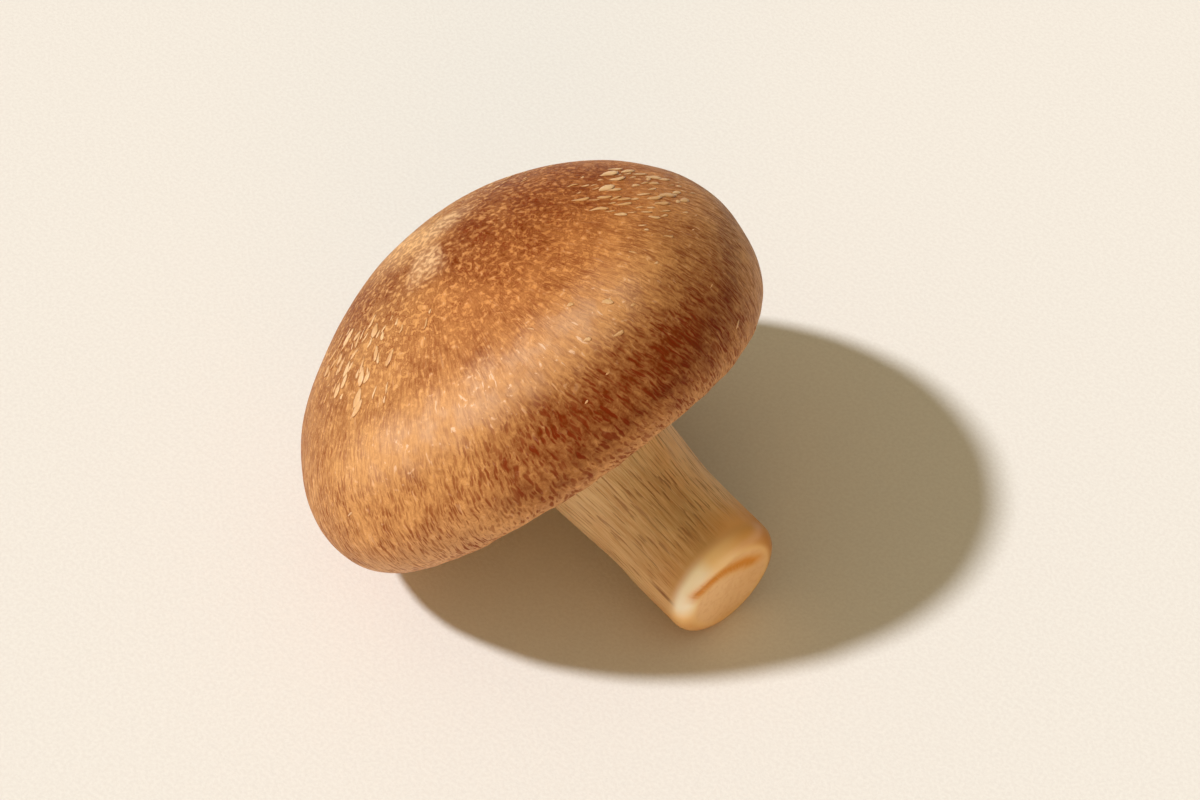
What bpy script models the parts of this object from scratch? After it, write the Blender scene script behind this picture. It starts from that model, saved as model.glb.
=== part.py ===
"""A shiitake mushroom as picked, lying on the rim of its cap and on the end of its stem.

Metres, +Z up, floor at Z = 0. The cap, gills and stem are drawn upright in the cap's own frame,
whose origin is the middle of the cap's widest ring, and an empty tips that frame over and sets it down.
"""

import math

import bmesh
import bpy
from mathutils import Matrix, Vector

# Cap: dome above the widest ring, rolled margin below it
CAP_RADIUS = 0.0300
DOME_HEIGHT = 0.0217
DOME_SHOULDER = 0.055
DOME_LEAN = (0.027, 0.027)
MARGIN_DEPTH = 0.0098
MARGIN_RADIUS = 0.0240
ROLL_WIDTH = 0.0026
ROLL_HEIGHT = 0.0044
OVAL = -0.041
THREE_LOBED = 0.021
RIM_SLANT = (0.033, -0.047)

# Flesh over the gills: level round the stem, then falling to the margin
FLESH_LEVEL = -0.0010
FLESH_SHOULDER = 0.0124
FLESH_RADII = (0.0205, 0.0165, FLESH_SHOULDER, 0.0083, 0.0041)

# Gills: a pleated ring between the stem and the margin. The edge is drawn from the margin inwards,
# as shares of the way out from the stem and shares of the gills' depth
GILL_PLEATS = 60
GILL_DEPTH = 0.0052
GILL_CLEARANCE = 0.0006
GILL_EDGE = ((1, 0.62), (0.86, 0.80), (0.66, 0.95), (0.44, 1), (0.2, 0.86), (0, 0.55))
GILL_TOP_SHARES = (0, 0.25, 0.5, 0.75, 1)
PLEAT_DEPTH = 0.0022

# Stem: centre line, girth and cut end
STEM_TOP = Vector((0.00025, -0.0006, FLESH_LEVEL))
STEM_END = Vector((0.00816, -0.0009, -0.03163))
STEM_BOW = Vector((-0.0027, 0.00126, 0.0))
STEM_TOP_RADIUS = 0.01042
STEM_WAIST_RADIUS = 0.00774
STEM_END_RADIUS = 0.00782
WAIST_PLACE = 0.71
FLARE_POWER = 1.3
END_ROUNDING = 0.0019
CUT_SLANT = (-0.17, 0.046)

# How it lies: rise of the cap's axis, and height of the cap's middle over the floor
AXIS_RISE = math.radians(44.6)
CENTRE_HEIGHT = 0.02422

# Fineness of the meshes, and the gap left between neighbouring pieces
CAP_STEPS = 72
STEM_STEPS = 48
DOME_ROWS = 14
MARGIN_ROWS = 7
ROLL_ROWS = 7
STEM_ROWS = 14
ROUNDING_ROWS = 4
SMOOTH_UNDER = math.radians(40)
GAP = 0.0003


def quarter(count):
    """Equal angles from 0 to a right angle."""
    return [math.pi / 2 * k / count for k in range(count + 1)]


def smooth(value):
    """Ease from 0 to 1."""
    held = min(max(value, 0.0), 1.0)
    return held * held * (3 - 2 * held)


def wobble(angle):
    """How far the cap's outline swells or draws in at an angle round its axis."""
    return 1 + OVAL * math.cos(2 * angle) + THREE_LOBED * math.cos(3 * angle)


def rim_rise(x, y):
    """Height that the slanting rim adds at a point of the underside."""
    return RIM_SLANT[0] * x + RIM_SLANT[1] * y


def flesh_height(radius):
    """Height of the bare flesh over the gills before the slant is added."""
    fall = (radius - FLESH_SHOULDER) / (MARGIN_RADIUS - FLESH_SHOULDER)
    return FLESH_LEVEL + (ROLL_HEIGHT - MARGIN_DEPTH - FLESH_LEVEL) * min(max(fall, 0.0), 1.0)


def dome_ring(lift, angles):
    """Ring of the dome; lift runs from 0 at the apex to a right angle at the widest ring."""
    reach = CAP_RADIUS * math.sin(lift) * (1 - DOME_SHOULDER * math.cos(lift) ** 2)
    height = DOME_HEIGHT * math.cos(lift) * (1 - DOME_SHOULDER * math.sin(lift) ** 2)
    lean_x, lean_y = (height * lean for lean in DOME_LEAN)
    ring = []
    for angle in angles:
        swell = reach * wobble(angle)
        ring.append(Vector((swell * math.cos(angle) + lean_x, swell * math.sin(angle) + lean_y, height)))
    return ring


def margin_ring(turn, angles):
    """Ring of the margin's outside, from the widest ring down to the rim."""
    reach = CAP_RADIUS - (CAP_RADIUS - MARGIN_RADIUS) * (1 - math.cos(turn))
    depth = math.sin(turn)
    ring = []
    for angle in angles:
        swell = wobble(angle)
        x, y = swell * math.cos(angle), swell * math.sin(angle)
        slant = depth * rim_rise(MARGIN_RADIUS * x, MARGIN_RADIUS * y)
        ring.append(Vector((reach * x, reach * y, slant - MARGIN_DEPTH * depth)))
    return ring


def underside_ring(radius, height, angles):
    """Ring inside the rim, carried up and down by the rim's slant."""
    ring = []
    for angle in angles:
        x = radius * wobble(angle) * math.cos(angle)
        y = radius * wobble(angle) * math.sin(angle)
        ring.append(Vector((x, y, height + rim_rise(x, y))))
    return ring


def cap_rings():
    """All rings of the cap, from beside the apex round the rim to the flesh over the stem."""
    angles = [math.tau * k / CAP_STEPS for k in range(CAP_STEPS)]
    rings = [dome_ring(lift, angles) for lift in quarter(DOME_ROWS)[1:]]
    rings += [margin_ring(turn, angles) for turn in quarter(MARGIN_ROWS)[1:]]
    for k in range(1, ROLL_ROWS + 1):
        turn = math.pi * k / ROLL_ROWS
        radius = MARGIN_RADIUS - ROLL_WIDTH * math.sin(turn)
        height = ROLL_HEIGHT / 2 * (1 - math.cos(turn)) - MARGIN_DEPTH
        rings.append(underside_ring(radius, height, angles))
    for radius in FLESH_RADII:
        rings.append(underside_ring(radius, flesh_height(radius), angles))
    return rings


def stem_centre(along):
    """Point of the stem's centre line, from 0 at the cap to 1 at the end."""
    return STEM_TOP.lerp(STEM_END, along) + STEM_BOW * (4 * along * (1 - along))


def stem_direction(along):
    """Way that the stem runs, away from the cap; its top ring lies flat against the cap's flesh."""
    flesh = Vector((RIM_SLANT[0], RIM_SLANT[1], -1)).normalized()
    run = (STEM_END - STEM_TOP + STEM_BOW * (4 * (1 - 2 * along))).normalized()
    return flesh.lerp(run, smooth(along / WAIST_PLACE)).normalized()


def stem_radius(along):
    """Girth: wide at the cap, slim at the waist, even towards the end."""
    top = max(1 - along / WAIST_PLACE, 0.0)
    end = smooth((along - WAIST_PLACE) / (1 - WAIST_PLACE))
    wider = (STEM_TOP_RADIUS - STEM_WAIST_RADIUS) * top ** FLARE_POWER
    return STEM_WAIST_RADIUS + wider + (STEM_END_RADIUS - STEM_WAIST_RADIUS) * end


def stem_ring(along, radius, onward, angles):
    """Ring square to the stem's run, a distance onward past its centre; the cut slants towards the end."""
    centre, run = stem_centre(along), stem_direction(along)
    side = Vector((0, -1, 0)).cross(run).normalized()
    across = side.cross(run)
    slant = radius * smooth((along - WAIST_PLACE) / (1 - WAIST_PLACE))
    ring = []
    for angle in angles:
        cut = slant * (CUT_SLANT[0] * math.cos(angle) + CUT_SLANT[1] * math.sin(angle))
        turned = side * math.cos(angle) + across * math.sin(angle)
        ring.append(centre + turned * radius + run * (onward + cut))
    return ring


def stem_rings():
    """All rings of the stem, from against the cap to the edge of its flat cut face."""
    angles = [math.tau * k / STEM_STEPS for k in range(STEM_STEPS)]
    rings = []
    for k in range(STEM_ROWS + 1):
        along = k / STEM_ROWS
        rings.append(stem_ring(along, stem_radius(along), GAP * (k == 0), angles))
    for turn in quarter(ROUNDING_ROWS)[1:]:
        radius = STEM_END_RADIUS - END_ROUNDING * (1 - math.cos(turn))
        rings.append(stem_ring(1, radius, END_ROUNDING * math.sin(turn), angles))
    return rings


def gill_ring(share, drop, pleat, angles):
    """Ring of the gills a share of the way from stem to margin; every second point is pleated up."""
    ring = []
    for index, angle in enumerate(angles):
        way = Vector((math.cos(angle), math.sin(angle)))
        inner = STEM_TOP.xy + way * (STEM_TOP_RADIUS + GILL_CLEARANCE)
        outer = way * (MARGIN_RADIUS - ROLL_WIDTH - GAP) * wobble(angle)
        place = inner.lerp(outer, share)
        flesh = flesh_height(place.length / wobble(math.atan2(place.y, place.x)))
        height = flesh - GAP - drop + pleat * (index % 2) + rim_rise(place.x, place.y)
        ring.append(Vector((place.x, place.y, height)))
    return ring


def gill_rings():
    """Rings round the gills' section: top outwards, then the pleated edges back inwards."""
    angles = [math.pi * k / GILL_PLEATS for k in range(2 * GILL_PLEATS)]
    rings = [gill_ring(share, 0, 0, angles) for share in GILL_TOP_SHARES]
    for share, depth in GILL_EDGE:
        pleat = PLEAT_DEPTH * math.sqrt(abs(math.sin(math.pi * share)))
        rings.append(gill_ring(share, GILL_DEPTH * depth, pleat, angles))
    return rings


def skin(rings, is_loop):
    """Mesh with faces between each ring and the next; a loop joins up, an open run gets flat ends."""
    bm = bmesh.new()
    rows = [[bm.verts.new(point) for point in ring] for ring in rings]
    followers = rows[1:] + rows[:1] if is_loop else rows[1:]
    for upper, lower in zip(rows, followers):
        for k in range(len(upper)):
            ahead = (k + 1) % len(upper)
            bm.faces.new((upper[k], lower[k], lower[ahead], upper[ahead]))
    if not is_loop:
        bm.faces.new(rows[0])
        bm.faces.new(reversed(rows[-1]))
    return bm


def pole(bm, ring_face, point):
    """Turn a flat end into a fan of triangles that meet at a point."""
    middle = bmesh.ops.poke(bm, faces=[ring_face])["verts"][0]
    middle.co = point


def press_flat(bm, placement):
    """Flatten what would reach below the floor, as soft flesh does where it rests."""
    to_own = placement.inverted()
    cut = bmesh.ops.bisect_plane(
        bm,
        geom=bm.verts[:] + bm.edges[:] + bm.faces[:],
        plane_co=to_own @ Vector((0, 0, 0)),
        plane_no=to_own.to_3x3() @ Vector((0, 0, -1)),
        clear_outer=True,
    )
    edges = [item for item in cut["geom_cut"] if isinstance(item, bmesh.types.BMEdge)]
    bmesh.ops.contextual_create(bm, geom=edges)


def material(name, colour, roughness):
    """Matt organic surface of one colour."""
    made = bpy.data.materials.new(name)
    made.use_nodes = True
    shader = made.node_tree.nodes["Principled BSDF"]
    shader.inputs["Base Color"].default_value = (*colour, 1)
    shader.inputs["Roughness"].default_value = roughness
    shader.inputs["Metallic"].default_value = 0
    return made


def piece(name, bm, finish, frame):
    """Object of the finished mesh, shaded smooth and hung on the mushroom's frame."""
    bmesh.ops.recalc_face_normals(bm, faces=bm.faces[:])
    mesh = bpy.data.meshes.new(name)
    bm.to_mesh(mesh)
    bm.free()
    mesh.materials.append(finish)
    mesh.shade_smooth()
    mesh.set_sharp_from_angle(angle=SMOOTH_UNDER)
    made = bpy.data.objects.new(name, mesh)
    bpy.context.collection.objects.link(made)
    made.parent = frame
    return made


def cap(placement):
    """Domed cap with its rolled margin and the bare flesh inside it."""
    bm = skin(cap_rings(), is_loop=False)
    bm.faces.ensure_lookup_table()
    apex = Vector((DOME_LEAN[0] * DOME_HEIGHT, DOME_LEAN[1] * DOME_HEIGHT, DOME_HEIGHT))
    pole(bm, bm.faces[-2], apex)
    press_flat(bm, placement)
    return bm


def stem(placement):
    """Stem with its rounded end and flat cut face."""
    bm = skin(stem_rings(), is_loop=False)
    press_flat(bm, placement)
    return bm


def gills():
    """Pleated ring of gills."""
    return skin(gill_rings(), is_loop=True)


def centre_on_floor(frame):
    """Slide the frame so that the middle of everything it holds is over the origin."""
    bpy.context.view_layer.update()
    points = [child.matrix_world @ vert.co for child in frame.children for vert in child.data.vertices]
    for axis in (0, 1):
        spread = [point[axis] for point in points]
        frame.location[axis] -= (min(spread) + max(spread)) / 2


def build():
    """Make the mushroom."""
    for item in list(bpy.data.objects):
        bpy.data.objects.remove(item, do_unlink=True)
    frame = bpy.data.objects.new("mushroom_frame", None)
    bpy.context.collection.objects.link(frame)
    frame.location = (0, 0, CENTRE_HEIGHT)
    frame.rotation_euler = (0, AXIS_RISE - math.pi / 2, 0)
    placement = Matrix.Translation(frame.location) @ frame.rotation_euler.to_matrix().to_4x4()

    piece("cap", cap(placement), material("brown_cap_skin", (0.46, 0.20, 0.075), 0.5), frame)
    piece("gills", gills(), material("cream_gills", (0.78, 0.66, 0.47), 0.75), frame)
    piece("stem", stem(placement), material("tan_stem_flesh", (0.52, 0.32, 0.14), 0.65), frame)
    centre_on_floor(frame)


build()
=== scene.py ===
import math

import bpy
import numpy as np
from mathutils import Matrix, Vector


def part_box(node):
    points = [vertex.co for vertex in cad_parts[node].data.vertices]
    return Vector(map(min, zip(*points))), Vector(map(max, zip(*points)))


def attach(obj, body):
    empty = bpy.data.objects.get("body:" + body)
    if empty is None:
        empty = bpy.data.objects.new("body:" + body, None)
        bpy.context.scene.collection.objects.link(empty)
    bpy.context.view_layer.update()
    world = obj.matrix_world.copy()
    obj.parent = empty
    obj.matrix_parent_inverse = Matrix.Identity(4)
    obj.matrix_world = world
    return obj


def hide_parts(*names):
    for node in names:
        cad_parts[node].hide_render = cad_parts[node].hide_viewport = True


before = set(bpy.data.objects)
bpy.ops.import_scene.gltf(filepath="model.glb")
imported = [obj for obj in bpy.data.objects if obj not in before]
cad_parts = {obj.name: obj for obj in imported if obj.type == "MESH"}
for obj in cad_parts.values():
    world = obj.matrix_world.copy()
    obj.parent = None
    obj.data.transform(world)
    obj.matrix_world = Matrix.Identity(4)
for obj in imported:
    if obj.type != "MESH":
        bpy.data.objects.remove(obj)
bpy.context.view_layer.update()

# A shiitake mushroom lying on its side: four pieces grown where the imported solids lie.
# Lengths are in metres. A turn is in degrees round the axis of the cap or of the stem.


class Wire:
    # an output that takes plain signs: each sign adds one Math node
    def __init__(self, net, socket):
        self.net = net
        self.socket = socket

    def __add__(self, other):
        return self.net.maths("ADD", self, other)

    def __sub__(self, other):
        return self.net.maths("SUBTRACT", self, other)

    def __rsub__(self, other):
        return self.net.maths("SUBTRACT", other, self)

    def __mul__(self, other):
        return self.net.maths("MULTIPLY", self, other)

    def __truediv__(self, other):
        return self.net.maths("DIVIDE", self, other)

    def __rtruediv__(self, other):
        return self.net.maths("DIVIDE", other, self)

    def __pow__(self, other):
        return self.net.maths("POWER", self, other)

    __radd__ = __add__
    __rmul__ = __mul__

    def sin(self):
        return self.net.maths("SINE", self)

    def cos(self):
        return self.net.maths("COSINE", self)

    def size(self):
        return self.net.maths("ABSOLUTE", self)

    def least(self, other):
        return self.net.maths("MINIMUM", self, other)

    def most(self, other):
        return self.net.maths("MAXIMUM", self, other)

    def rise(self, start, end, eased=True):
        # 0 below start, 1 above end; the other way round where end is the smaller
        style = "SMOOTHSTEP" if eased else "LINEAR"
        settings = {"interpolation_type": style, "clamp": True}
        sockets = {"Value": self, "From Min": start, "From Max": end}
        return self.net.put("ShaderNodeMapRange", settings, sockets)


class Net:
    # a tree being wired, for a material or for geometry
    def __init__(self, tree):
        self.tree = tree

    def put(self, kind, settings=None, sockets=None, pick=0):
        node = self.tree.nodes.new(kind)
        for name, value in (settings or {}).items():
            setattr(node, name, value)
        for key, value in (sockets or {}).items():
            socket = self.find(node.inputs, key)
            if isinstance(value, Wire):
                self.tree.links.new(value.socket, socket)
            else:
                socket.default_value = value
        return Wire(self, self.find(node.outputs, pick))

    def find(self, sockets, key):
        if isinstance(key, int):
            return sockets[key]
        return next(socket for socket in sockets if socket.enabled and socket.name == key)

    def maths(self, operation, *values):
        return self.put("ShaderNodeMath", {"operation": operation}, dict(enumerate(values)))

    def vector(self, operation, *values):
        pick = "Value" if operation == "DOT_PRODUCT" else "Vector"
        return self.put("ShaderNodeVectorMath", {"operation": operation}, dict(enumerate(values)), pick)

    def scaled(self, vector, amount):
        return self.put("ShaderNodeVectorMath", {"operation": "SCALE"}, {"Vector": vector, "Scale": amount})

    def join(self, x, y, z):
        return self.put("ShaderNodeCombineXYZ", {}, {"X": x, "Y": y, "Z": z})

    def split(self, vector):
        parts = self.put("ShaderNodeSeparateXYZ", {}, {"Vector": vector})
        return [Wire(self, socket) for socket in parts.socket.node.outputs]

    def mix(self, factor, first, second, kind="RGBA"):
        settings = {"data_type": kind}
        return self.put("ShaderNodeMix", settings, {"Factor": factor, "A": first, "B": second}, "Result")

    def noise(self, vector, scale=1.0, detail=2.0, roughness=0.5, pick="Fac"):
        sockets = {"Vector": vector, "Scale": scale, "Detail": detail, "Roughness": roughness}
        return self.put("ShaderNodeTexNoise", {}, sockets, pick)

    def drift(self, vector, scale, detail, amount, roughness=0.5):
        # a vector that wanders to either side of nothing, by an amount along each axis
        cloud = self.noise(vector, scale, detail, roughness, "Color")
        return self.vector("MULTIPLY", self.vector("SUBTRACT", cloud, (0.5, 0.5, 0.5)), amount)

    def cells(self, vector):
        # how far each spot is from the nearest of many scattered middles
        settings = {"voronoi_dimensions": "3D", "feature": "F1"}
        return self.put("ShaderNodeTexVoronoi", settings, {"Vector": vector, "Scale": 1.0}, "Distance")


def tint(red, green, blue):
    # a colour as a paint chart gives it, 0 to 255, turned linear
    linear = [((part / 255 + 0.055) / 1.055) ** 2.4 for part in (red, green, blue)]
    return (*linear, 1.0)


def placed(name, data):
    made = bpy.data.objects.new(name, data)
    bpy.context.scene.collection.objects.link(made)
    return made


def grow(name, sizes, draw, finish, seedMesh=None):
    # run a geometry tree with named inputs, and keep what it grows as a plain mesh
    tree = bpy.data.node_groups.new(name + "Tree", "GeometryNodeTree")
    tree.interface.new_socket("Geometry", in_out="INPUT", socket_type="NodeSocketGeometry")
    tree.interface.new_socket("Geometry", in_out="OUTPUT", socket_type="NodeSocketGeometry")
    kinds = {int: "NodeSocketInt", float: "NodeSocketFloat", tuple: "NodeSocketVector"}
    identifiers = {}
    for label, value in sizes.items():
        socket = tree.interface.new_socket(label, in_out="INPUT", socket_type=kinds[type(value)])
        identifiers[label] = socket.identifier
    net = Net(tree)
    entry = tree.nodes.new("NodeGroupInput")
    grown = draw(net, {label: Wire(net, entry.outputs[label]) for label in ("Geometry", *sizes)})
    grown = net.put("GeometryNodeSetShadeSmooth", {}, {"Geometry": grown, "Shade Smooth": True})
    grown = net.put("GeometryNodeRealizeInstances", {}, {"Geometry": grown})
    grown = net.put("GeometryNodeSetMaterial", {}, {"Geometry": grown, "Material": finish})
    leave = tree.nodes.new("NodeGroupOutput")
    tree.links.new(grown.socket, leave.inputs["Geometry"])

    host = placed(name + "Host", seedMesh or bpy.data.meshes.new(name + "Seed"))
    modifier = host.modifiers.new("grow", "NODES")
    modifier.node_group = tree
    for label, value in sizes.items():
        modifier[identifiers[label]] = value
    seen = host.evaluated_get(bpy.context.evaluated_depsgraph_get())
    mesh = bpy.data.meshes.new_from_object(seen)
    mesh.name = name
    bpy.data.objects.remove(host)
    print(f"{name}: {len(mesh.vertices)} points, {len(mesh.polygons)} faces")
    return mesh


def named(net, label, kind="FLOAT"):
    return net.put("GeometryNodeInputNamedAttribute", {"data_type": kind}, {"Name": label}, "Attribute")


def keep(net, geometry, label, value, kind="FLOAT"):
    sockets = {"Geometry": geometry, "Name": label, "Value": value}
    return net.put("GeometryNodeStoreNamedAttribute", {"data_type": kind}, sockets)


def drawn(net, seed, low=0.0, **more):
    # a number from low to 1, another for each point
    sockets = {"Min": low, "Max": 1.0, "Seed": seed, **more}
    return net.put("FunctionNodeRandomValue", {"data_type": "FLOAT"}, sockets, "Value")


def moved(net, geometry, how, vector):
    # "Position" puts the points at the vector, "Offset" pushes them along it
    return net.put("GeometryNodeSetPosition", {}, {"Geometry": geometry, how: vector})


def sheetOfRings(net, size):
    # a flat grid, with its two shares: once round and down the outline
    sockets = {"Size X": 1.0, "Size Y": 1.0, "Vertices X": size["around"], "Vertices Y": size["along"]}
    x, y = net.split(net.put("GeometryNodeInputPosition"))[:2]
    return net.put("GeometryNodeMeshGrid", {}, sockets), x + 0.5, y + 0.5


def closeUp(net, geometry, weldReach=0.000002):
    # weld the seam and the poles, and turn the faces outwards
    merged = net.put("GeometryNodeMergeByDistance", {}, {"Geometry": geometry, "Distance": weldReach})
    return net.put("GeometryNodeFlipFaces", {}, {"Mesh": merged})


def facing(net, where, degrees):
    # 1 on the side that faces a given turn, 0 a quarter turn off, -1 on the far side
    way = (math.cos(math.radians(degrees)), math.sin(math.radians(degrees)), 0.0)
    return net.vector("DOT_PRODUCT", where, way)


def patch(net, where, degrees, wide, level, long, strength=1.0):
    # a soft patch of skin: its middle's turn and level, how far it reaches each way, and its strength
    turned = facing(net, where, degrees).rise(math.cos(math.radians(wide)), 1.0)
    return turned * (net.split(where)[2] - level).size().rise(long, 0.0) * strength


# strokes and flecks lean off the straight way down: one way at the left, the other at the upper right
strokeLean = {"turn": 24.0, "full": 0.97, "swing": 21.0, "back": 9.0}


def leaning(net, where):
    swung = facing(net, where, strokeLean["turn"]).rise(0.0, strokeLean["full"])
    return swung * strokeLean["swing"] - strokeLean["back"]


# the cap: a dome, a margin that bends in, a roll under it, and the flesh in to the stem
capShape = {
    "capRadius": 0.0300,
    "domeHeight": 0.0217,
    "domeShoulder": 0.055,
    "domeLeanX": 0.027,
    "domeLeanY": 0.027,
    "marginDepth": 0.0098,
    "marginRadius": 0.0240,
    "rollWidth": 0.0026,
    "rollHeight": 0.0044,
    "oval": -0.041,
    "threeLobed": 0.021,
    "rimSlantX": 0.033,
    "rimSlantY": -0.047,
    "fleshLevel": -0.0010,
    "fleshShoulder": 0.0124,
    "around": 441,
    "along": 171,
    "domeEnds": 0.60,
    "marginEnds": 0.80,
    "rollEnds": 0.92,
    "domeRun": 0.0410,
    "marginRun": 0.0126,
    "rollRun": 0.0075,
    "fleshRun": 0.0240,
    "dents": 0.00035,
    "dentSize": 0.013,
    "pucker": 0.00018,
    "puckerScale": (9.0, 9.0, 120.0),
    "shoulderRidge": 0.00040,
    "shoulderAngle": -0.72,
    "shoulderStretch": (0.022, 0.0305, 0.0370),
    "hollowStretch": (0.0325, 0.0395, 0.0460),
}


def drawCap(net, size):
    grid, turn, down = sheetOfRings(net, size)
    angle = turn * math.tau
    dome = down.rise(0.0, size["domeEnds"], eased=False)
    margin = down.rise(size["domeEnds"], size["marginEnds"], eased=False)
    under = down.rise(size["marginEnds"], size["rollEnds"], eased=False)
    flesh = down.rise(size["rollEnds"], 1.0, eased=False)
    lift = dome * (math.pi / 2)
    bend = margin * (math.pi / 2)
    roll = under * math.pi

    # each stretch of the outline adds its own reach and height to where the last one ended
    domeHeight = size["domeHeight"] * lift.cos() * (1 - size["domeShoulder"] * lift.sin() ** 2)
    domeReach = size["capRadius"] * lift.sin() * (1 - size["domeShoulder"] * lift.cos() ** 2)
    marginReach = (size["capRadius"] - size["marginRadius"]) * (1 - bend.cos())
    fleshSlope = flesh / (1 - size["fleshShoulder"] / size["marginRadius"])
    fleshRise = (size["fleshLevel"] + size["marginDepth"] - size["rollHeight"]) * fleshSlope.least(1.0)
    reach = domeReach - marginReach - size["rollWidth"] * roll.sin() - size["marginRadius"] * flesh
    height = domeHeight - size["marginDepth"] * bend.sin()
    height = height + size["rollHeight"] * 0.5 * (1 - roll.cos()) + fleshRise

    swell = 1 + size["oval"] * (angle * 2).cos() + size["threeLobed"] * (angle * 3).cos()
    slant = (size["rimSlantX"] * angle.cos() + size["rimSlantY"] * angle.sin()) * swell
    slant = slant * reach.least(size["marginRadius"]) * bend.sin()
    x = reach * swell * angle.cos() + domeHeight * size["domeLeanX"]
    y = reach * swell * angle.sin() + domeHeight * size["domeLeanY"]
    place = net.join(x, y, height + slant)
    # what the finish needs: the way round as a circle, and metres along the skin from the top
    run = dome * size["domeRun"] + margin * size["marginRun"] + under * size["rollRun"]
    run = run + flesh * size["fleshRun"]
    grid = keep(net, grid, "skinPlace", net.join(angle.cos(), angle.sin(), run), "FLOAT_VECTOR")
    shaped = closeUp(net, moved(net, grid, "Position", place))

    # shallow dents all over, and a margin that puckers a little
    here = net.put("GeometryNodeInputPosition")
    where = named(net, "skinPlace", "FLOAT_VECTOR")
    run = net.split(where)[2]
    cloud = net.noise(net.scaled(here, 1 / size["dentSize"]), detail=1.5) - 0.5
    folds = net.noise(net.vector("MULTIPLY", where, size["puckerScale"]), detail=1.0) - 0.5
    folds = folds * run.rise(0.040, 0.052) * run.rise(0.066, 0.060)
    push = cloud * 2 * size["dents"] * run.rise(0.070, 0.058) + folds * 2 * size["pucker"]
    # one flank is flatter, with a rounder shoulder above it
    way = net.join(size["shoulderAngle"].cos(), size["shoulderAngle"].sin(), 0.0)
    flank = net.vector("DOT_PRODUCT", where, way)
    start, crest, end = net.split(size["shoulderStretch"])
    shoulder = run.rise(start, crest) * run.rise(end, crest)
    start, bottom, end = net.split(size["hollowStretch"])
    hollow = run.rise(start, bottom) * run.rise(end, bottom)
    push = push + (shoulder - hollow) * size["shoulderRidge"] * flank.rise(0.1, 0.9)
    return moved(net, shaped, "Offset", net.scaled(net.put("GeometryNodeInputNormal"), push))


# the gills: thin blades in three lengths, from the margin in towards the stem
gillShape = {
    "blades": 288,
    "gillDepth": 0.0052,
    "bladeThickness": 0.00022,
    "intoFlesh": 0.0006,
    "stemX": 0.00025,
    "stemY": -0.0006,
    "innerRadius": 0.0098,
    "outerRadius": 0.0228,
    "halfStart": 0.38,
    "halfSpread": 0.14,
    "shortStart": 0.66,
    "shortSpread": 0.16,
    "unevenness": 0.35,
    "wave": 0.00088,
    "nick": 0.00070,
    "seed": 7,
}


def drawGills(net, size):
    spots = net.put("GeometryNodePoints", {}, {"Count": size["blades"]})
    index = net.put("GeometryNodeInputIndex")
    tier = net.maths("MODULO", index, 4.0)
    chance = drawn(net, size["seed"], ID=index)
    # one blade in four runs right to the stem, the next longest starts half way, two start near the margin
    isShort = net.maths("COMPARE", net.maths("MODULO", index, 2.0), 1.0, 0.1)
    isHalf = net.maths("COMPARE", tier, 2.0, 0.1)
    start = isHalf * (size["halfStart"] + chance * size["halfSpread"])
    start = start + isShort * (size["shortStart"] + chance * size["shortSpread"])
    angle = (index + (chance - 0.5) * size["unevenness"]) * math.tau / size["blades"]
    spots = keep(net, spots, "bladeAngle", angle)
    spots = keep(net, spots, "bladeStart", start)
    blade = net.put(
        "GeometryNodeMeshCube", {},
        {"Size": (1.0, 1.0, 1.0), "Vertices X": 10, "Vertices Y": 2, "Vertices Z": 4}, "Mesh",
    )
    blades = net.put("GeometryNodeInstanceOnPoints", {}, {"Points": spots, "Instance": blade})
    blades = net.put("GeometryNodeRealizeInstances", {}, {"Geometry": blades})

    # each blade is a unit box: x runs outwards, y across its thickness, z down to its free edge
    x, y, z = net.split(net.put("GeometryNodeInputPosition"))
    angle = named(net, "bladeAngle")
    start = named(net, "bladeStart")
    share = start + (1 - start) * (x + 0.5)
    drop = 0.5 - z
    innerX = angle.cos() * size["innerRadius"] + size["stemX"]
    innerY = angle.sin() * size["innerRadius"] + size["stemY"]
    swell = 1 + capShape["oval"] * (angle * 2).cos() + capShape["threeLobed"] * (angle * 3).cos()
    outer = swell * size["outerRadius"]
    placeX = innerX + (angle.cos() * outer - innerX) * share
    placeY = innerY + (angle.sin() * outer - innerY) * share
    radius = net.maths("SQRT", placeX * placeX + placeY * placeY) / swell
    fall = (radius - capShape["fleshShoulder"]) / (capShape["marginRadius"] - capShape["fleshShoulder"])
    fleshFall = capShape["rollHeight"] - capShape["marginDepth"] - capShape["fleshLevel"]
    flesh = capShape["fleshLevel"] + fall.most(0.0).least(1.0) * fleshFall
    flesh = flesh + placeX * capShape["rimSlantX"] + placeY * capShape["rimSlantY"]
    # the blade's free edge: notched at the stem, deepest half way out, shallow at the margin
    edge = 0.50 + 0.5 * share.rise(0.0, 0.35) - 0.42 * share.rise(0.45, 1.05)
    edge = edge * (x + 0.5).rise(-0.12, 0.35).most(start.rise(0.02, 0.0))
    wander = net.noise(net.join(share * 9, angle * 40, 0.0), detail=1.0) - 0.5
    nicks = net.noise(net.join(share * 34, angle * 90, 2.0), detail=1.0) - 0.5
    depth = size["gillDepth"] * edge + nicks * size["nick"]
    across = y * size["bladeThickness"] * (1 - drop * 0.45) + wander * drop * size["wave"]
    placeX = placeX - angle.sin() * across
    placeY = placeY + angle.cos() * across
    height = flesh + size["intoFlesh"] - (depth + size["intoFlesh"]) * drop
    blades = keep(net, blades, "bladeDrop", drop)
    return moved(net, blades, "Position", net.join(placeX, placeY, height))


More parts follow.
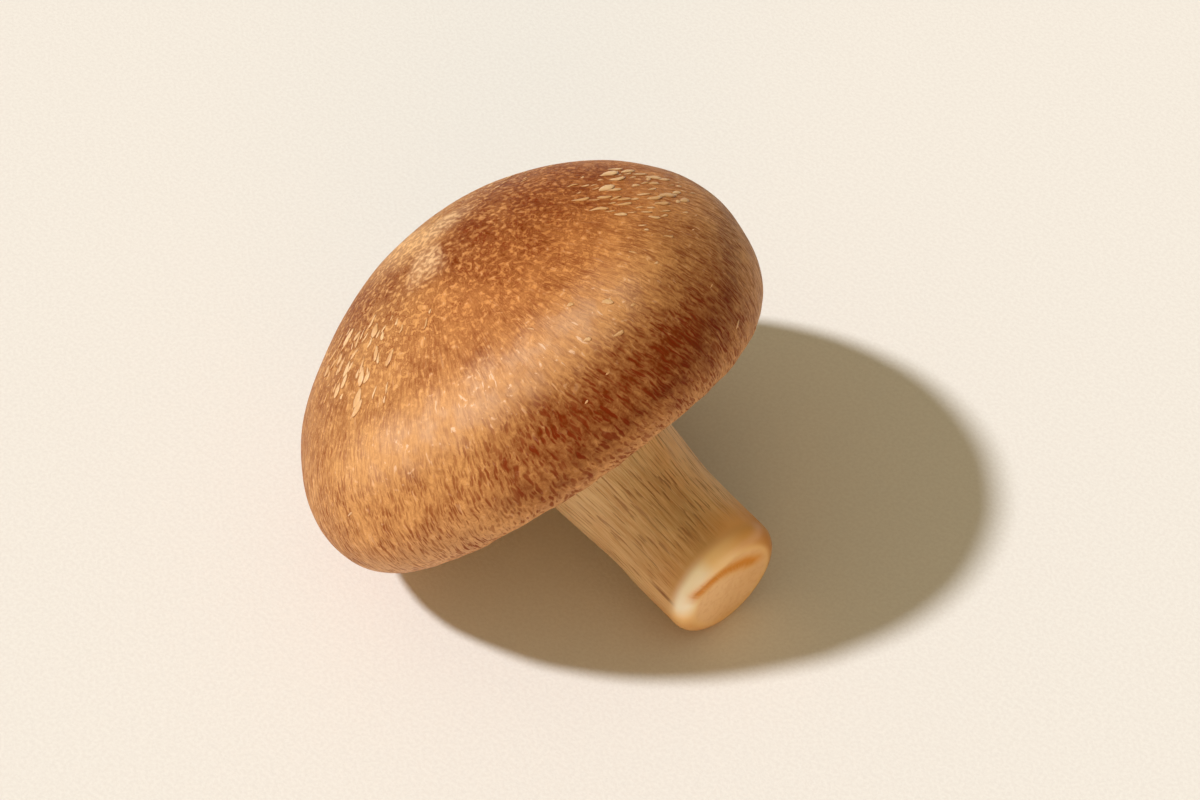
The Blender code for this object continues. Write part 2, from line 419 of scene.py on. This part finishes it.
# the stem: a bowed rod with a flared top, a rounded lip and a slanting cut face
stemShape = {
    "top": (0.00025, -0.0006, -0.0010),
    "end": (0.00816, -0.0009, -0.03163),
    "bow": (-0.0027, 0.00126, 0.0),
    "topRadius": 0.01042,
    "waistRadius": 0.00774,
    "endRadius": 0.00782,
    "waistPlace": 0.71,
    "flarePower": 1.3,
    "endRounding": 0.0020,
    "cutSlantX": -0.17,
    "cutSlantY": 0.046,
    "intoCap": 0.0008,
    "creaseDepth": 0.00016,
    "creaseWidth": 0.0007,
    "grooves": 0.00022,
    "fineScale": (7.0, 7.0, 150.0),
    "coarseScale": (2.2, 2.2, 60.0),
    "around": 301,
    "along": 241,
    "crownEnds": 0.04,
    "rodEnds": 0.74,
    "lipEnds": 0.84,
    "rodRun": 0.0326,
    "lipRun": 0.0022,
    "faceRun": 0.0057,
}
creasePath = {"swingTurn": 25.0, "fadeTurn": -20.0, "level": 0.0353, "swing": 0.0028}


def crease(net, where, width):
    # the crease in the cut end starts at the lip and swings in over the upper side
    swing = facing(net, where, creasePath["swingTurn"])
    fade = facing(net, where, creasePath["fadeTurn"])
    level = creasePath["level"] + swing.rise(0.0, 0.95, eased=False) * creasePath["swing"]
    strength = swing.rise(-0.25, 0.10) * fade.rise(-0.25, 0.35)
    return (net.split(where)[2] - level).size().rise(width, 0.0) * strength


def drawStem(net, size):
    grid, turn, down = sheetOfRings(net, size)
    angle = turn * math.tau
    crown = down.rise(0.0, size["crownEnds"], eased=False)
    along = down.rise(size["crownEnds"], size["rodEnds"], eased=False)
    bend = down.rise(size["rodEnds"], size["lipEnds"], eased=False) * (math.pi / 2)
    face = down.rise(size["lipEnds"], 1.0, eased=False)

    waist = size["waistPlace"]
    flare = (1 - along / waist).most(0.0) ** size["flarePower"]
    radius = size["waistRadius"] + (size["topRadius"] - size["waistRadius"]) * flare
    radius = radius + (size["endRadius"] - size["waistRadius"]) * along.rise(waist, 1.0)
    radius = radius * crown - size["endRounding"] * (1 - bend.cos())
    radius = radius * (1 - face)
    chord = net.vector("SUBTRACT", size["end"], size["top"])
    bowed = net.scaled(size["bow"], along * (1 - along) * 4)
    centre = net.vector("ADD", net.vector("ADD", size["top"], net.scaled(chord, along)), bowed)
    # the rings stand square to the bowed middle line, and at the top they lie along the cap's flesh
    onwards = net.vector("NORMALIZE", net.vector("ADD", chord, net.scaled(size["bow"], 4 - along * 8)))
    flesh = Vector((capShape["rimSlantX"], capShape["rimSlantY"], -1)).normalized()
    onwards = net.mix(along.rise(0.0, waist), tuple(flesh), onwards, "VECTOR")
    onwards = net.vector("NORMALIZE", onwards)
    side = net.vector("NORMALIZE", net.vector("CROSS_PRODUCT", (0.0, -1.0, 0.0), onwards))
    over = net.vector("CROSS_PRODUCT", side, onwards)
    outward = net.vector("ADD", net.scaled(side, angle.cos()), net.scaled(over, angle.sin()))

    slant = size["cutSlantX"] * angle.cos() + size["cutSlantY"] * angle.sin()
    further = size["endRounding"] * bend.sin() + slant * radius * along.rise(waist, 1.0)
    further = further - size["intoCap"] * along.rise(0.06, 0.0)
    reach = net.vector("ADD", net.scaled(outward, radius), net.scaled(onwards, further))
    run = along * size["rodRun"] + bend * size["lipRun"] + face * size["faceRun"]
    grid = keep(net, grid, "stemPlace", net.join(angle.cos(), angle.sin(), run), "FLOAT_VECTOR")
    shaped = closeUp(net, moved(net, grid, "Position", net.vector("ADD", centre, reach)))

    # fibres stand out as long fine ridges that fade before the smooth cut end
    where = named(net, "stemPlace", "FLOAT_VECTOR")
    fine = net.noise(net.vector("MULTIPLY", where, size["fineScale"]), detail=2.0) - 0.5
    coarse = net.noise(net.vector("MULTIPLY", where, size["coarseScale"]), detail=1.0) - 0.5
    push = (fine * 1.6 + coarse * 2.4) * size["grooves"] * net.split(where)[2].rise(0.033, 0.028)
    push = push - crease(net, where, size["creaseWidth"]) * size["creaseDepth"]
    return moved(net, shaped, "Offset", net.scaled(net.put("GeometryNodeInputNormal"), push))


# the pale flecks, where the skin has torn and lifted
fleckShape = {
    "spacing": 0.00085,
    "crowd": 600000.0,
    "shortest": 0.00050,
    "longest": 0.00138,
    "slimmest": 0.30,
    "slimness": 0.50,
    "lift": 0.10,
    "lean": 0.041,
    "leanMore": 0.13,
    "pull": 0.0010,
    "pullScale": 700.0,
    "seed": 11,
    "lengthSeed": 3,
    "widthSeed": 4,
}
# patches where flecks gather: turn, degrees wide, metres from the top, metres long, and how crowded
fleckPatches = [
    (-89.0, 24.0, 0.0182, 0.0056, 3.0),
    (-78.0, 9.0, 0.0240, 0.0018, 3.0),
    (34.0, 22.0, 0.0245, 0.0090, 2.5),
    (66.0, 22.0, 0.0095, 0.0070, 0.5),
    (-50.0, 22.0, 0.0190, 0.0050, 0.25),
    (-8.0, 30.0, 0.0340, 0.0100, 0.12),
    (180.0, 60.0, 0.0260, 0.0120, 0.12),
]
strayFlecks = 0.006


def drawFlecks(net, size):
    where = named(net, "skinPlace", "FLOAT_VECTOR")
    gathered = strayFlecks
    for one in fleckPatches:
        gathered = patch(net, where, *one).least(1.0).most(gathered)
    spread = {"Mesh": size["Geometry"], "Distance Min": size["spacing"], "Density Max": size["crowd"]}
    spread.update({"Density Factor": gathered, "Seed": size["seed"]})
    method = {"distribute_method": "POISSON"}
    places = net.put("GeometryNodeDistributePointsOnFaces", method, spread, "Points")
    normal = Wire(net, places.socket.node.outputs["Normal"])
    places = keep(net, places, "fleckUpward", normal, "FLOAT_VECTOR")

    # each points outwards from the top, turned by the skin's lean and a little by chance
    x, y = net.split(net.put("GeometryNodeInputPosition"))[:2]
    outward = net.vector("NORMALIZE", net.join(x, y, 0.0))
    across = net.vector("CROSS_PRODUCT", (0.0, 0.0, 1.0), outward)
    leant = net.scaled(across, leaning(net, where) * size["lean"] + size["leanMore"])
    outward = net.vector("ADD", outward, leant)
    jitter = net.put(
        "FunctionNodeRandomValue", {"data_type": "FLOAT_VECTOR"},
        {"Min": (-0.3, -0.3, -0.3), "Max": (0.3, 0.3, 0.3), "Seed": size["seed"]}, "Value",
    )
    turn = net.put(
        "FunctionNodeAxesToRotation", {"primary_axis": "Z", "secondary_axis": "X"},
        {"Primary Axis": normal, "Secondary Axis": net.vector("ADD", outward, jitter)}, "Rotation",
    )
    chance = drawn(net, size["lengthSeed"])
    width = drawn(net, size["widthSeed"], size["slimmest"])
    length = size["shortest"] + (size["longest"] - size["shortest"]) * chance ** 1.8
    length = length * (0.5 + gathered * 0.5)

    # a lens drawn to a point at its upper end, with its lower end lifted
    lens = net.put("GeometryNodeMeshIcoSphere", {}, {"Radius": 1.0, "Subdivisions": 2}, "Mesh")
    x, y, z = net.split(net.put("GeometryNodeInputPosition"))
    lens = keep(net, lens, "fleckMiddle", z)
    plump = 0.50 + 0.50 * x.rise(-1.0, 0.3)
    thick = (z * plump + x.rise(-0.2, 1.0) * 0.4) * size["lift"]
    lens = moved(net, lens, "Position", net.join(x, y * size["slimness"] * plump, thick))
    scale = net.join(length, length * width, length)
    laid = {"Points": places, "Instance": lens, "Rotation": turn, "Scale": scale}
    flecks = net.put("GeometryNodeInstanceOnPoints", {}, laid)
    flecks = net.put("GeometryNodeRealizeInstances", {}, {"Geometry": flecks})

    # each is pulled a little out of true along the skin, so that no two are alike
    pull = net.drift(net.put("GeometryNodeInputPosition"), size["pullScale"], 2.0, size["pull"], 0.6)
    upward = named(net, "fleckUpward", "FLOAT_VECTOR")
    lifted = net.scaled(upward, net.vector("DOT_PRODUCT", pull, upward))
    return moved(net, flecks, "Offset", net.vector("SUBTRACT", pull, lifted))


# the finishes, each under its own dictionary of colours and patterns
def newFinish(name, roughness, specular, soft=0.0):
    finish = bpy.data.materials.new(name)
    finish.use_nodes = True
    shader = finish.node_tree.nodes["Principled BSDF"]
    shader.inputs["Roughness"].default_value = roughness
    shader.inputs["Specular IOR Level"].default_value = specular
    shader.inputs["Subsurface Weight"].default_value = soft
    shader.inputs["Subsurface Radius"].default_value = (1.0, 0.45, 0.2)
    shader.inputs["Subsurface Scale"].default_value = 0.0015
    return finish, Net(finish.node_tree), shader


def plug(net, shader, label, wire):
    net.tree.links.new(wire.socket, shader.inputs[label])


def bumped(net, height, depth):
    return net.put("ShaderNodeBump", {}, {"Height": height, "Distance": depth, "Strength": 1.0})


def stored(net, label, pick="Vector"):
    return net.put("ShaderNodeAttribute", {"attribute_name": label}, {}, pick)


def objectPlace(net):
    return net.put("ShaderNodeTexCoord", {}, {}, "Object")


capLook = {
    "gold": tint(210, 156, 98),
    "ruddyGold": tint(215, 143, 80),
    "brown": tint(117, 50, 7),
    "lines": tint(122, 42, 4),
    "rim": tint(224, 182, 138),
    # pale for the skin's pale specks and for the painted highlight
    "pale": tint(236, 198, 166),
    "top": tint(238, 196, 150),
    "crown": tint(242, 192, 134),
    "flesh": tint(236, 214, 178),
    # how fine each pattern is: round and along the skin, or per metre
    "strandScale": (58.0, 440.0),
    "dashScale": (68.0, 330.0),
    "flickScale": (108.0, 560.0),
    "curlScale": 1550.0,
    "grainScale": 2600.0,
    "cloudScale": 75.0,
    "mottleScale": 330.0,
    "relief": 0.00008,
    # patches of skin: turn, degrees wide, metres from the top, metres long, and strength
    "deepAndShadedPatches": [
        (26.0, 75.0, 0.0120, 0.0160, 0.29),
        (-98.0, 38.0, 0.0115, 0.0060, 0.20),
        (-28.0, 32.0, 0.0110, 0.0060, 0.20),
        # this patch on the flank that turns from the light is painted shade as well as darker skin
        (-13.0, 50.0, 0.0425, 0.0095, 0.57),
        (160.0, 75.0, 0.0360, 0.0150, 0.22),
    ],
    # a painted highlight: a paler band on the shoulder where the light glances off, given as turn, degrees
    # wide, metres from the top and metres long
    "highlightPatch": (-42.0, 54.0, 0.0314, 0.0062),
    "ruddyPatch": (15.0, 100.0, 0.0190, 0.0200),
    "rimPatch": (-90.0, 45.0, 0.0480, 0.0070, 0.60),
    "topPatch": (-20.0, 70.0, 0.0030, 0.0040),
    "besideTopPatch": (-52.0, 17.0, 0.0092, 0.0048),
    "crownPatch": (-115.0, 90.0, 0.0035, 0.0060),
}


def makeCapSkin():
    look = capLook
    finish, net, shader = newFinish("capSkinFinish", 0.45, 0.07)
    where = stored(net, "skinPlace")
    here = objectPlace(net)
    run = net.split(where)[2]

    # a slow wander and a quick quiver keep the strokes from lining up, moving them sideways most
    wander = net.drift(here, 300.0, 2.0, (2.2, 2.2, 0.6))
    wander = net.vector("ADD", wander, net.drift(here, 900.0, 1.0, (0.9, 0.9, 0.3)))
    lean = {"Vector": where, "Angle": leaning(net, where) * (0.030 - run)}
    leant = net.put("ShaderNodeVectorRotate", {"rotation_type": "Z_AXIS"}, lean, "Vector")

    def stroked(scales):
        across, along = scales
        return net.vector("ADD", net.vector("MULTIPLY", leant, (across, across, along)), wander)

    strand = net.noise(stroked(look["strandScale"]), 1.0, 1.5)
    dashes = net.cells(stroked(look["dashScale"])).rise(0.42, 0.25)
    flicks = net.cells(stroked(look["flickScale"])).rise(0.44, 0.26)
    curl = net.noise(net.vector("ADD", net.scaled(here, look["curlScale"]), wander))
    grain = net.noise(here, look["grainScale"], 2.0, 0.6)
    cloud = net.noise(here, look["cloudScale"], 3.0, 0.55)
    mottle = net.noise(here, look["mottleScale"])

    # on the dome short curls with no one way, towards the rim dashes that follow the skin down
    towardsRim = run.rise(0.012, 0.036)
    hairs = (curl - 0.5).size().rise(0.055, 0.0) * (1 - towardsRim * 0.6)
    lines = hairs.most(dashes * (0.15 + towardsRim * 0.85)).most(flicks * (0.4 + towardsRim * 0.5))

    # how dark the brown is: broad patches, the one on the flank painted shade, less under the painted
    # highlight, then clouds, mottle, grain, strands and curls over them
    deepAndShade = sum(patch(net, where, *one) for one in look["deepAndShadedPatches"])
    paintedHighlight = patch(net, where, *look["highlightPatch"])
    depth = 0.33 - towardsRim * 0.07 + deepAndShade - paintedHighlight * 0.16
    depth = depth + (cloud - 0.5) + (mottle - 0.5) * 0.5 + (grain - 0.5) * 0.4
    depth = depth + (strand - 0.5) * (0.3 + towardsRim * 0.9) + (curl - 0.5) * (1.9 - towardsRim * 1.5)
    golden = net.mix(patch(net, where, *look["ruddyPatch"]), look["gold"], look["ruddyGold"])
    skin = net.mix(depth.most(0.0).least(1.0), golden, look["brown"])

    rim = (run.rise(0.0465, 0.0500) * 0.30).most(patch(net, where, *look["rimPatch"]))
    skin = net.mix(rim, skin, look["rim"])
    strength = 0.46 - towardsRim * 0.12 + deepAndShade * 0.7 + mottle.rise(0.35, 0.65) * 0.34 + rim * 0.3
    strength = lines * strength * (1 - paintedHighlight * 0.45)
    skin = net.mix(strength.least(1.0), skin, look["lines"])
    # pale specks of the skin, stronger under the painted highlight, and the highlight's own pale mottle
    pale = curl.rise(0.36, 0.25).most(strand.rise(0.34, 0.26) * towardsRim)
    pale = pale * (0.20 + paintedHighlight * 0.80) * (1 - deepAndShade * 1.5)
    pale = pale + paintedHighlight * (0.18 + mottle.rise(0.40, 0.60) * 0.24)
    skin = net.mix(pale.least(1.0), skin, look["pale"])
    top = patch(net, where, *look["topPatch"]).most(patch(net, where, *look["besideTopPatch"]))
    skin = net.mix(top * (0.26 + curl.rise(0.60, 0.42) * 0.5), skin, look["top"])
    crown = patch(net, where, *look["crownPatch"])
    skin = net.mix(crown * (0.30 + curl.rise(0.60, 0.40) * 0.45), skin, look["crown"])

    # the skin ends inside the rolled margin, where pale flesh takes over
    edge = run + (mottle - 0.5) * 0.002
    skin = net.mix(edge.rise(0.0555, 0.0590), skin, look["flesh"])
    plug(net, shader, "Base Color", skin)
    plug(net, shader, "Roughness", 0.36 + lines * 0.2 + grain * 0.16)
    relief = 0.6 - lines * 0.4 + (grain - 0.5) * 0.5 + pale * 0.3
    plug(net, shader, "Normal", bumped(net, relief, look["relief"]))
    return finish


gillLook = {
    "pale": tint(240, 222, 188),
    "cream": tint(228, 203, 162),
    "edge": tint(196, 150, 98),
    "grain": tint(206, 170, 122),
    "relief": 0.00005,
}


def makeGillFinish():
    look = gillLook
    finish, net, shader = newFinish("gillFinish", 0.75, 0.25, 0.15)
    drop = stored(net, "bladeDrop", "Fac")
    here = objectPlace(net)
    grain = net.noise(here, 900.0, 3.0, 0.6)
    cloud = net.noise(here, 160.0)
    flesh = net.mix(cloud.rise(0.35, 0.65), look["pale"], look["cream"])
    flesh = net.mix(drop.rise(0.75, 1.0) * 0.45, flesh, look["edge"])
    flesh = net.mix(grain.rise(0.5, 0.75) * 0.25, flesh, look["grain"])
    plug(net, shader, "Base Color", flesh)
    plug(net, shader, "Normal", bumped(net, grain, look["relief"]))
    return finish


fleckLook = {
    "pale": tint(232, 188, 140),
    "tan": tint(212, 160, 106),
    "grain": tint(196, 136, 84),
    # the painted shade round each fleck's rim
    "edge": tint(170, 106, 56),
    "relief": 0.00005,
}


def makeFleckFinish():
    look = fleckLook
    finish, net, shader = newFinish("fleckFinish", 0.42, 0.5, 0.1)
    middle = stored(net, "fleckMiddle", "Fac")
    here = objectPlace(net)
    grain = net.noise(here, 2200.0, 2.0, 0.6)
    cloud = net.noise(here, 300.0, 1.0)
    flesh = net.mix(cloud.rise(0.35, 0.65), look["pale"], look["tan"])
    flesh = net.mix(grain.rise(0.5, 0.7) * 0.35, flesh, look["grain"])
    # painted shade: each fleck is darker towards its rim, where a thin shadow would lie round the lifted
    # flake
    flesh = net.mix(middle.rise(0.55, 0.12) * 0.75, flesh, look["edge"])
    plug(net, shader, "Base Color", flesh)
    plug(net, shader, "Normal", bumped(net, grain, look["relief"]))
    return finish


stemLook = {
    "upperFlesh": tint(222, 197, 155),
    "lowerFlesh": tint(209, 178, 131),
    "paintedLitSide": tint(248, 210, 160),
    "paintedLitLeft": tint(228, 198, 150),
    "clouds": tint(200, 152, 96),
    "warmEnd": tint(216, 160, 90),
    "darkFibre": tint(186, 140, 88),
    "paleFibre": tint(236, 208, 164),
    "hair": tint(178, 122, 66),
    "dash": tint(124, 64, 22),
    "crack": tint(122, 62, 20),
    "warmSideAndSheen": tint(246, 184, 108),
    "lip": tint(241, 200, 138),
    "lipTan": tint(225, 172, 102),
    "paintedLipLight": tint(252, 220, 164),
    "paintedLipGleam": tint(255, 250, 232),
    "lipBrown": tint(202, 136, 60),
    "face": tint(243, 206, 158),
    "faceCloud": tint(235, 194, 142),
    "faceGrain": tint(226, 178, 124),
    "creaseHalo": tint(238, 182, 96),
    "crease": tint(218, 144, 34),
    # how fine each pattern is, round and along the stem
    "fibreScale": (26.0, 26.0, 140.0),
    "dashScale": (30.0, 30.0, 250.0),
    "hairScale": (70.0, 70.0, 300.0),
    "relief": 0.00012,
    # patches of skin: turn, degrees wide, metres from the cap, metres long, and strength
    "crackPatch": (-83.0, 2.6, 0.0310, 0.0032, 0.8),
    "paintedGleamPatch": (-62.0, 38.0, 0.0338, 0.0032, 1.3),
    "haloWidth": 0.0024,
    "creaseWidth": 0.0016,
}


def makeStemFinish():
    look = stemLook
    finish, net, shader = newFinish("stemFinish", 0.5, 0.4, 0.1)
    where = stored(net, "stemPlace")
    here = objectPlace(net)
    run = net.split(where)[2]
    wander = net.drift(here, 240.0, 2.0, (0.9, 0.9, 0.9))

    def lengthwise(scales):
        return net.vector("ADD", net.vector("MULTIPLY", where, scales), wander)

    fibre = net.noise(lengthwise(look["fibreScale"]), 1.0, 3.0, 0.6)
    dash = net.noise(lengthwise(look["dashScale"]), 1.0, 1.0, 0.4)
    hair = net.noise(net.vector("MULTIPLY", where, look["hairScale"]))
    cloud = net.noise(here, 150.0)
    grain = net.noise(here, 1300.0, 3.0, 0.6)

    def towards(degrees, start, end):
        return facing(net, where, degrees).rise(start, end)

    # fibres and short brown dashes run along the stem and stop before the smooth end
    side = run.rise(0.0328, 0.0308)
    flesh = net.mix(run.rise(0.014, 0.024), look["upperFlesh"], look["lowerFlesh"])
    # painted light: the stem is paler on its two lit sides
    flesh = net.mix(towards(42.0, 0.50, 0.95), flesh, look["paintedLitSide"])
    flesh = net.mix(towards(-125.0, 0.45, 0.95) * 0.8, flesh, look["paintedLitLeft"])
    flesh = net.mix(cloud.rise(0.42, 0.68) * 0.35, flesh, look["clouds"])
    flesh = net.mix(run.rise(0.024, 0.0315) * 0.3, flesh, look["warmEnd"])
    flesh = net.mix(fibre.rise(0.50, 0.62) * 0.4 * side, flesh, look["darkFibre"])
    flesh = net.mix(fibre.rise(0.48, 0.36) * 0.35 * side, flesh, look["paleFibre"])
    flesh = net.mix(hair.rise(0.52, 0.66) * 0.35 * side, flesh, look["hair"])
    dashes = dash.rise(0.60, 0.66) * (0.25 + cloud * 0.5) * run.rise(0.0315, 0.0280)
    flesh = net.mix(dashes, flesh, look["dash"])
    flesh = net.mix(patch(net, where, *look["crackPatch"]), flesh, look["crack"])
    # warm orange on the right side near the end, partly a painted highlight
    flesh = net.mix(towards(52.0, 0.3, 0.9) * run.rise(0.0270, 0.0325) * 0.8, flesh, look["warmSideAndSheen"])

    # the lip is cream, with a painted highlight and a white painted gleam where it faces the light, and
    # orange brown on the far side
    cream = net.mix(towards(20.0, 0.2, 0.8) * run.rise(0.0360, 0.0348), look["lip"], look["lipTan"])
    cream = net.mix(towards(-50.0, 0.35, 0.95), cream, look["paintedLipLight"])
    cream = net.mix(patch(net, where, *look["paintedGleamPatch"]).least(1.0), cream, look["paintedLipGleam"])
    lip = run.rise(0.0318, 0.0336)
    flesh = net.mix(lip, flesh, cream)
    brown = towards(92.0, 0.25, 0.85).most(towards(-140.0, 0.7, 0.95) * 0.5) * run.rise(0.0362, 0.0350)
    flesh = net.mix(brown * run.rise(0.0270, 0.0330) * 0.9, flesh, look["lipBrown"])

    # the cut face, pale with a faint mottle, and the orange crease along its upper side
    face = (run + (cloud - 0.5) * 0.0006).rise(0.0358, 0.0368)
    flesh = net.mix(face, flesh, net.mix(cloud.rise(0.35, 0.65), look["face"], look["faceCloud"]))
    flesh = net.mix(grain.rise(0.48, 0.62) * face * 0.35, flesh, look["faceGrain"])
    flesh = net.mix(crease(net, where, look["haloWidth"]) * 0.5, flesh, look["creaseHalo"])
    core = crease(net, where, look["creaseWidth"]) * (0.3 + fibre * 1.5)
    flesh = net.mix(core.least(1.0) * 0.95, flesh, look["crease"])
    plug(net, shader, "Base Color", flesh)
    plug(net, shader, "Roughness", 0.58 - lip * 0.30 + face * 0.24)
    relief = (fibre * 0.5 + hair * 0.3 - dash.rise(0.55, 0.64) * 0.3) * side + grain * face * 0.3
    plug(net, shader, "Normal", bumped(net, relief, look["relief"]))
    return finish


# setting down: how far the cap's axis rises above the surface
lying = {"axisRise": math.radians(44.6)}
tip = Matrix.Rotation(lying["axisRise"] - math.pi / 2, 4, "Y")


def points(mesh):
    flat = np.empty(len(mesh.vertices) * 3)
    mesh.vertices.foreach_get("co", flat)
    return flat.reshape(-1, 3)


def setDown(mesh, move):
    # tip the mesh over, move it to its place, and press flat what would go below the surface
    mesh.transform(Matrix.Translation(move) @ tip)
    laid = points(mesh)
    laid[:, 2] = np.maximum(laid[:, 2], 0.0)
    mesh.vertices.foreach_set("co", laid.ravel())
    mesh.update()


def piece(name, mesh, slot, *nodes):
    made = placed(name, mesh)
    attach(made, "root")
    if nodes:
        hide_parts(*nodes)


capMesh = grow("capSkin", capShape, drawCap, makeCapSkin())
gillMesh = grow("gillBlades", gillShape, drawGills, makeGillFinish())
stemMesh = grow("stemFlesh", stemShape, drawStem, makeStemFinish())
fleckMesh = grow("paleFlecks", fleckShape, drawFlecks, makeFleckFinish(), capMesh)

# the plain cap's box, tipped, tells how far everything moves to lie where the solids lie
plainShape = dict(capShape, dents=0.0, pucker=0.0, shoulderRidge=0.0)
plainMesh = grow("capPlain", plainShape, drawCap, capMesh.materials[0])
tipped = points(plainMesh) @ np.array(tip.to_3x3()).T
bpy.data.meshes.remove(plainMesh)
low, high = (np.array(corner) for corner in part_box("cap"))
shift = Vector(((low + high) / 2 - (tipped.min(0) + tipped.max(0)) / 2))
shift.z = high[2] - tipped[:, 2].max()
print("shift", [round(value * 1000, 3) for value in shift])
for mesh in (capMesh, gillMesh, stemMesh, fleckMesh):
    setDown(mesh, shift)
piece("capSkin", capMesh, "cap_skin", "cap")
piece("paleFlecks", fleckMesh, "cap_skin")
piece("gillBlades", gillMesh, "gill_flesh", "gills")
piece("stemFlesh", stemMesh, "stem_flesh", "stem")

# floor, light and camera
studio = {
    "paper": tint(236, 233, 231),
    "paperGrain": tint(230, 226, 224),
    "floorSize": 6.0,
    "sunStrength": 3.0,
    "sunSoftness": math.radians(4.4),
    "sunHeight": math.radians(51.0),
    "sunFrom": math.radians(1.8),
    "skyColour": (0.345, 0.31, 0.205),
    "lowSky": (1.08, 0.58, 0.22, 1.0),
    "highSky": (1.0, 1.05, 1.06, 1.0),
    "skyLeft": 1.1,
    "skyRight": 0.9,
    "boxStrength": 13.5,
    "boxSize": 1.4,
    "boxColour": (1.0, 0.51, 0.15),
    "boxPlace": (1.56, -1.86, 0.60),
}
viewpoint = {
    "azimuth": math.radians(37.07),
    "elevation": math.radians(49.6),
    "distance": 0.4234,
    "lens": 100.0,
    "aimAcross": 0.007816,
    "aimAway": 0.01611,
}


def makeFloor():
    finish, net, shader = newFinish("floorFinish", 0.9, 0.2)
    grain = net.noise(objectPlace(net), 2200.0, 3.0, 0.6)
    paper = net.mix(grain.rise(0.3, 0.7), studio["paper"], studio["paperGrain"])
    plug(net, shader, "Base Color", paper)
    plug(net, shader, "Normal", bumped(net, grain, 0.00003))
    half = studio["floorSize"] / 2
    corners = [(-half, -half, 0), (half, -half, 0), (half, half, 0), (-half, half, 0)]
    mesh = bpy.data.meshes.new("floor")
    mesh.from_pydata(corners, [], [(0, 1, 2, 3)])
    mesh.materials.append(finish)
    floor = placed("floor", mesh)


def makeLight():
    # the sun shines across from the left of the camera, turned a little away from it
    turn = viewpoint["azimuth"] + studio["sunFrom"]
    level = Vector((math.cos(turn), math.sin(turn), 0))
    travel = level * math.cos(studio["sunHeight"]) - Vector((0, 0, math.sin(studio["sunHeight"])))
    lamp = bpy.data.lights.new("keyLight", "SUN")
    lamp.energy = studio["sunStrength"]
    lamp.angle = studio["sunSoftness"]
    key = placed("keyLight", lamp)
    key.rotation_euler = travel.to_track_quat("-Z", "Y").to_euler()

    # the room is brighter on the side that the light comes from
    world = bpy.data.worlds.new("studioWorld")
    world.use_nodes = True
    net = Net(world.node_tree)
    compass = net.put("ShaderNodeTexCoord", {}, {}, "Generated")
    across = net.vector("DOT_PRODUCT", compass, tuple(level)).rise(-1.0, 1.0)
    left = [part * studio["skyLeft"] for part in studio["skyColour"]]
    right = [part * studio["skyRight"] for part in studio["skyColour"]]
    sky = net.mix(across, (*left, 1.0), (*right, 1.0))
    # low light is warm, light from overhead a little cooler
    overhead = net.split(compass)[2].rise(0.0, 0.7)
    sky = net.vector("MULTIPLY", sky, net.mix(overhead, studio["lowSky"], studio["highSky"]))
    plug(net, world.node_tree.nodes["Background"], "Color", sky)
    bpy.context.scene.world = world

    # a low soft box at the front reaches in under the cap
    box = bpy.data.lights.new("softBox", "AREA")
    box.energy = studio["boxStrength"]
    box.size = studio["boxSize"]
    box.color = studio["boxColour"]
    front = placed("softBox", box)
    front.location = studio["boxPlace"]
    front.rotation_euler = (-Vector(studio["boxPlace"])).to_track_quat("-Z", "Y").to_euler()


def makeCamera():
    azimuth, elevation = viewpoint["azimuth"], viewpoint["elevation"]
    across = Vector((math.cos(azimuth), math.sin(azimuth), 0))
    away = Vector((-math.sin(azimuth), math.cos(azimuth), 0))
    back = Vector((0, 0, math.sin(elevation))) - away * math.cos(elevation)
    aim = Vector((shift.x, shift.y, 0)) + across * viewpoint["aimAcross"] + away * viewpoint["aimAway"]
    lens = bpy.data.cameras.new("camera")
    lens.lens = viewpoint["lens"]
    lens.clip_start = 0.01
    camera = placed("camera", lens)
    camera.location = aim + back * viewpoint["distance"]
    camera.rotation_euler = (-back).to_track_quat("-Z", "Y").to_euler()
    bpy.context.scene.camera = camera


makeFloor()
makeLight()
makeCamera()
bpy.context.scene.view_settings.view_transform = "Standard"
print("floor, light and camera are in place")
